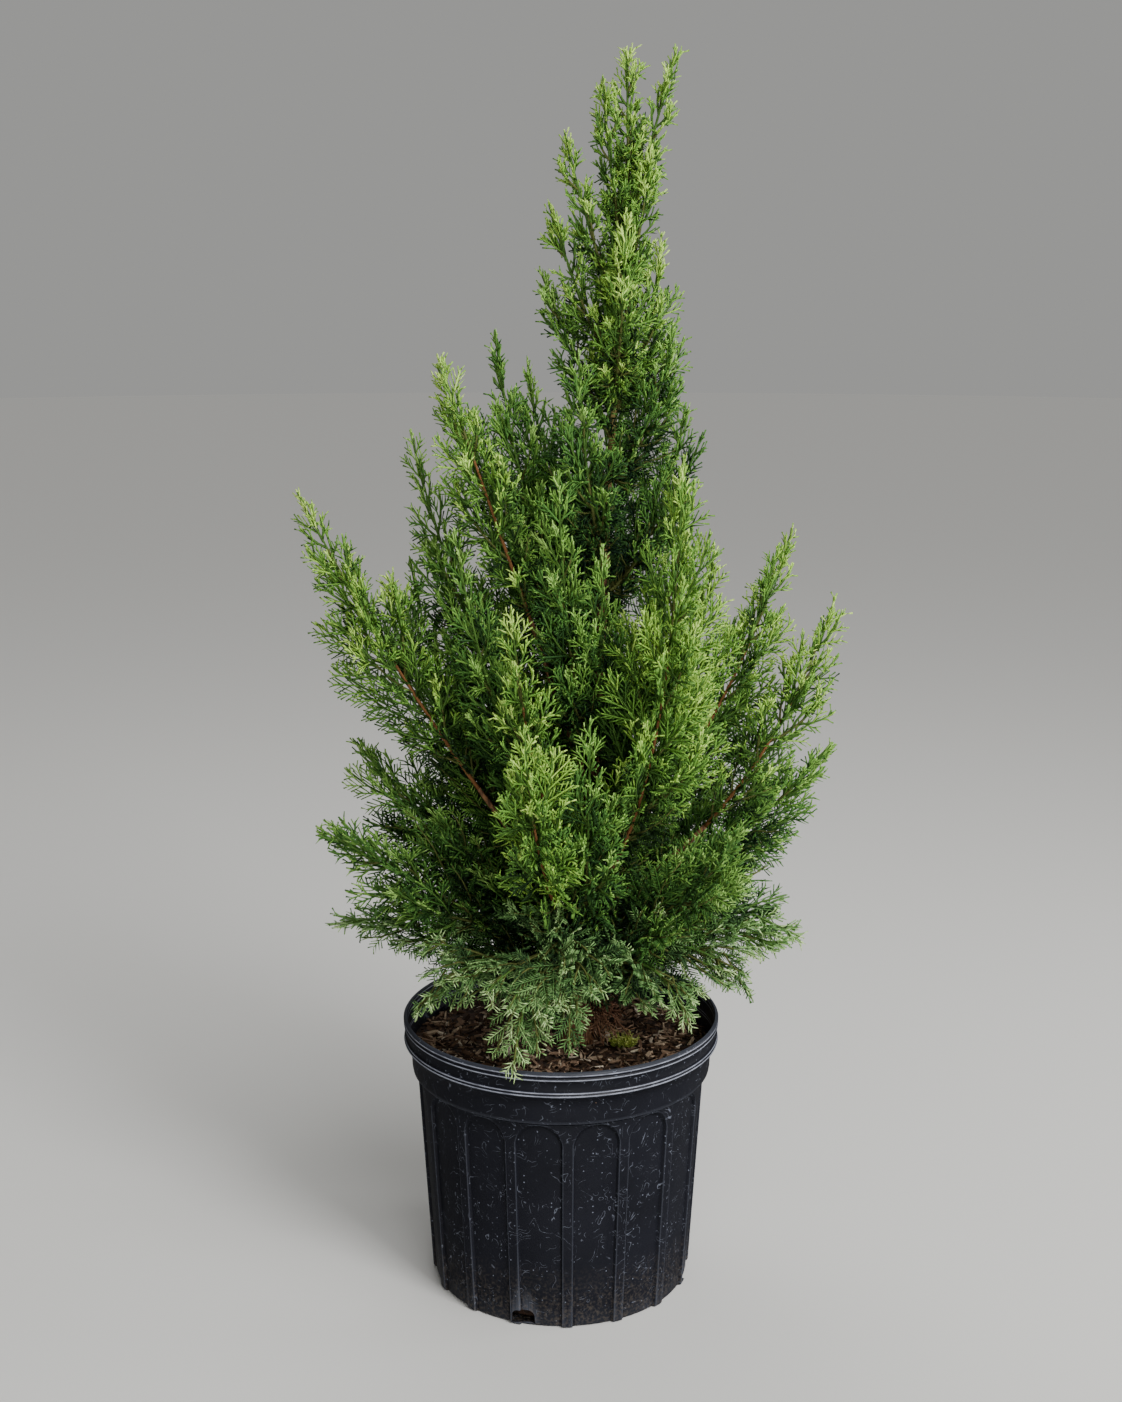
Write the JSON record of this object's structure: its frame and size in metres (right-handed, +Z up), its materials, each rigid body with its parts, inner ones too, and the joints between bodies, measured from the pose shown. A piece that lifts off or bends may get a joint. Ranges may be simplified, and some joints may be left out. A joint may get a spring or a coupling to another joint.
{
  "type": "potted blue point chinese juniper",
  "caption": "Small conical juniper shrub with upright feathery branches, growing in bark mix in a round ribbed nursery pot",
  "frame": {"origin": "centre of the pot's flat underside, which stands on the ground", "axes": "+Z up along the pot's axis, -Y towards the front of the plant, +X towards its right as seen from the front"},
  "size_m": [0.4479, 0.34, 1.048],
  "materials": {
    "pot": "moulded black resin, scuffed and dusty",
    "potting_bark": "damp shredded bark",
    "bark": "thin peeling reddish-brown bark",
    "needles_bright": "yellow-green young growth",
    "needles_green": "mid-green foliage",
    "needles_blue": "blue-green needle foliage"
  },
  "bodies": {
    "root": {"pot": "pot", "potting_bark": "potting_bark", "trunk": "bark", "mass_leader_tip": "needles_bright", "mass_leader_fork": "needles_bright", "mass_leader_left_top": "needles_bright", "mass_leader_right_upper": "needles_bright", "mass_leader_left_upper": "needles_bright", "mass_leader_back": "needles_bright", "mass_leader_left_mid": "needles_bright", "mass_leader_front": "needles_bright", "mass_leader_right_mid": "needles_bright", "bough_flank_front": "bark", "mass_flank_front": "needles_bright", "mass_flame_side": "needles_bright", "bough_wing_right": "bark", "mass_wing_right": "needles_bright", "bough_centre_small": "bark", "mass_centre_small": "needles_bright", "bough_flame": "bark", "mass_flame": "needles_bright", "bough_wing_right_low": "bark", "mass_wing_right_low": "needles_bright", "bough_wing_left": "bark", "mass_wing_left": "needles_bright", "bough_apron_front": "bark", "mass_apron_front": "needles_bright", "mass_leader_left_low": "needles_green", "mass_leader_right_low": "needles_green", "mass_shoulder_front": "needles_green", "mass_shoulder_right": "needles_green", "mass_shoulder_left": "needles_green", "mass_back_tall": "needles_green", "mass_flank_tall": "needles_green", "mass_column_front": "needles_green", "mass_centre_front": "needles_green", "bough_back_left": "bark", "mass_back_left": "needles_green", "mass_back_right": "needles_green", "mass_flank_left": "needles_green", "mass_flank_inner": "needles_green", "mass_wing_left_back": "needles_green", "mass_back_mid": "needles_green", "mass_arm_right": "needles_green", "mass_apron_centre": "needles_green", "mass_back_low_left": "needles_blue", "mass_back_low_right": "needles_blue", "mass_arm_left": "needles_blue", "mass_apron_right": "needles_blue", "mass_arm_left_low": "needles_blue", "mass_arm_right_low": "needles_blue", "mass_skirt_right": "needles_blue", "mass_skirt_back_right": "needles_blue", "mass_skirt_back": "needles_blue", "mass_skirt_back_left": "needles_blue", "mass_skirt_left": "needles_blue", "mass_skirt_left_front": "needles_blue", "mass_skirt_front": "needles_blue", "mass_skirt_centre": "needles_blue", "mass_skirt_front_right": "needles_blue"}
  },
  "joints": []
}
